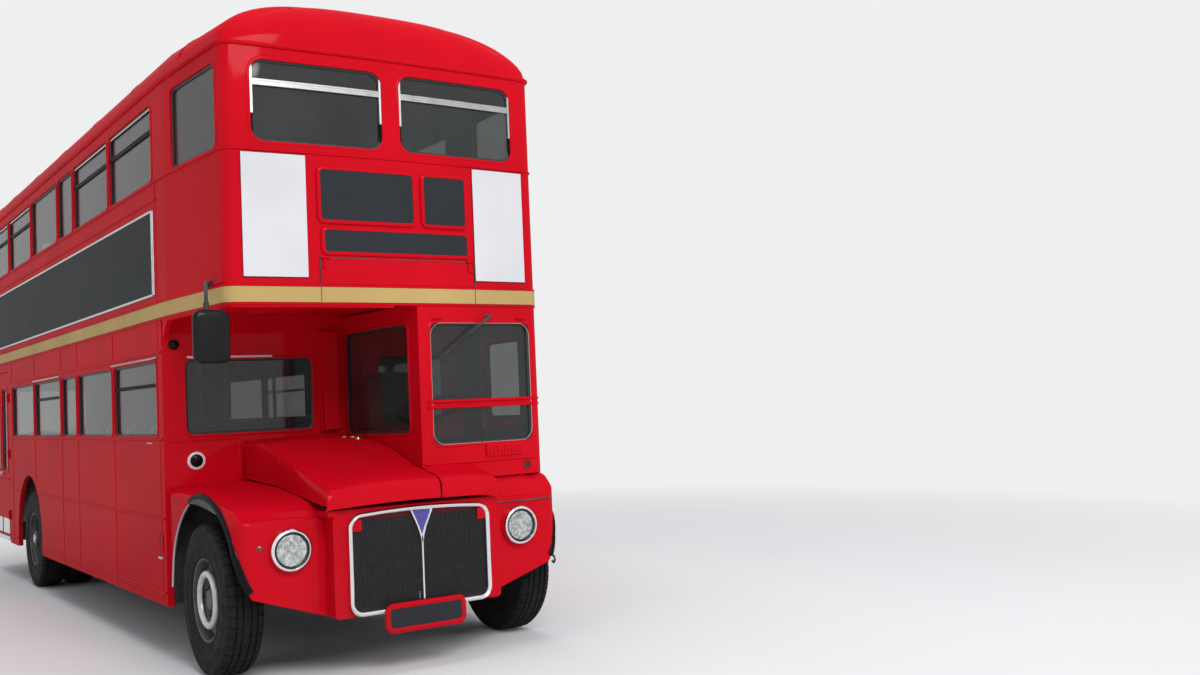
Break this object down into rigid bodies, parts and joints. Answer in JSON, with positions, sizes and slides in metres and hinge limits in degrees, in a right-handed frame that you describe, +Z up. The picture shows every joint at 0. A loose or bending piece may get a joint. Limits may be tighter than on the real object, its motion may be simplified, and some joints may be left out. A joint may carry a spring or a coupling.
{
  "type": "half-cab double decker bus",
  "caption": "Red half-cab double decker bus with an open-fronted bonnet, a rear side entrance, steered front wheels and a passenger saloon on each deck.",
  "frame": {"origin": "on the ground, under the middle of the bus", "axes": "+Z up, the bus faces -Y, +X is its left-hand side, where the cab is"},
  "size_m": [2.5774, 9.098, 4.48],
  "materials": {
    "red_paint": "gloss coach enamel",
    "cream_paint": "gloss cream-gold enamel",
    "black_paint": "satin black chassis paint",
    "wheel_paint": "satin dark wheel enamel",
    "grey_board": "satin dark grey board",
    "chrome": "polished bright metal",
    "glass": "clear window glass",
    "tyre": "matt tyre rubber",
    "black_plastic": "black moulded",
    "seat_fabric": "woven checked moquette",
    "leather": "dark driver's seat hide",
    "floor": "worn ribbed flooring on alloy",
    "cast_iron": "painted casting"
  },
  "bodies": {
    "root": {"advert_boards": "grey_board", "cab_glass": "glass", "cab_shell": "red_paint", "display_panels": "black_paint", "driver_seat": "leather", "engine_block": "cast_iron", "front_axle": "black_paint", "front_bulkhead": "red_paint", "front_glass": "glass", "front_panel": "red_paint", "fuel_tank": "black_paint", "grab_poles": "cream_paint", "grille": "black_paint", "headlamps": "chrome", "left_wing": "red_paint", "lower_floor": "floor", "lower_glass": "glass", "lower_rear": "red_paint", "lower_seats": "seat_fabric", "lower_side_left": "red_paint", "lower_side_right": "red_paint", "mid_floor": "red_paint", "mirror": "black_plastic", "number_plate": "black_paint", "propshaft": "black_paint", "radiator_surround": "chrome", "rear_axle": "black_paint", "right_wing": "red_paint", "roof": "red_paint", "staircase": "floor", "underframe": "black_paint", "upper_front": "red_paint", "upper_glass": "glass", "upper_rear": "red_paint", "upper_seats": "seat_fabric", "upper_side_left": "red_paint", "upper_side_right": "red_paint", "waist_band": "cream_paint", "windscreen_wiper": "black_plastic"},
    "entrance_door_front": {"entrance_leaf_front": "red_paint", "entrance_glass_front": "glass"},
    "entrance_door_rear": {"entrance_leaf_rear": "red_paint", "entrance_glass_rear": "glass"},
    "cab_door": {"cab_door": "red_paint", "cab_door_glass": "glass"},
    "bonnet": {"bonnet": "red_paint"},
    "steering_wheel": {"steering_wheel": "black_plastic"},
    "knuckle_right": {"knuckle_right": "black_paint"},
    "knuckle_left": {"knuckle_left": "black_paint"},
    "front_wheel_right": {"front_wheel_right": "wheel_paint", "front_tyre_right": "tyre"},
    "front_wheel_left": {"front_wheel_left": "wheel_paint", "front_tyre_left": "tyre"},
    "rear_wheel_right": {"rear_wheels_right": "wheel_paint", "rear_tyres_right": "tyre"},
    "rear_wheel_left": {"rear_wheels_left": "wheel_paint", "rear_tyres_left": "tyre"}
  },
  "joints": [
    {"name": "entrance_front_hinge", "type": "hinge", "parent": "root", "child": "entrance_door_front", "pos_m": [-1.23, 3.299, 1.37], "axis": [0, 0, 1], "range_deg": [0, 90]},
    {"name": "entrance_rear_hinge", "type": "hinge", "parent": "root", "child": "entrance_door_rear", "pos_m": [-1.23, 4.251, 1.37], "axis": [0, 0, -1], "range_deg": [0, 90]},
    {"name": "cab_door_slide", "type": "slide", "parent": "root", "child": "cab_door", "axis": [0.065, 0.9979, 0], "range_m": [0, 0.62]},
    {"name": "bonnet_hinge", "type": "hinge", "parent": "root", "child": "bonnet", "pos_m": [-0.25, -2.999, 1.504], "axis": [-1, 0, 0], "range_deg": [0, 45]},
    {"name": "steer_right", "type": "hinge", "parent": "root", "child": "knuckle_right", "pos_m": [-0.9, -3.705, 0.5], "axis": [0, 0, 1], "range_deg": [-32, 32]},
    {"name": "steer_left", "type": "hinge", "parent": "root", "child": "knuckle_left", "pos_m": [0.9, -3.705, 0.5], "axis": [0, 0, 1], "range_deg": [-32, 32]},
    {"name": "steering_wheel_turn", "type": "hinge", "parent": "root", "child": "steering_wheel", "pos_m": [0.45, -3.78895, 1.67789], "axis": [0, 0.3684, 0.9297], "range_deg": [-640, 640]},
    {"name": "front_wheel_right_spin", "type": "hinge", "parent": "knuckle_right", "child": "front_wheel_right", "pos_m": [-1.065, -3.705, 0.5], "axis": [1, 0, 0], "continuous": true},
    {"name": "front_wheel_left_spin", "type": "hinge", "parent": "knuckle_left", "child": "front_wheel_left", "pos_m": [1.065, -3.705, 0.5], "axis": [1, 0, 0], "continuous": true},
    {"name": "rear_wheel_right_spin", "type": "hinge", "parent": "root", "child": "rear_wheel_right", "pos_m": [-1.065, 2.137, 0.5], "axis": [1, 0, 0], "continuous": true},
    {"name": "rear_wheel_left_spin", "type": "hinge", "parent": "root", "child": "rear_wheel_left", "pos_m": [1.065, 2.137, 0.5], "axis": [1, 0, 0], "continuous": true}
  ],
  "couplings": [
    {"joint": "steer_left", "follows": "steer_right", "ratio": 1},
    {"joint": "steering_wheel_turn", "follows": "steer_right", "ratio": 20}
  ]
}
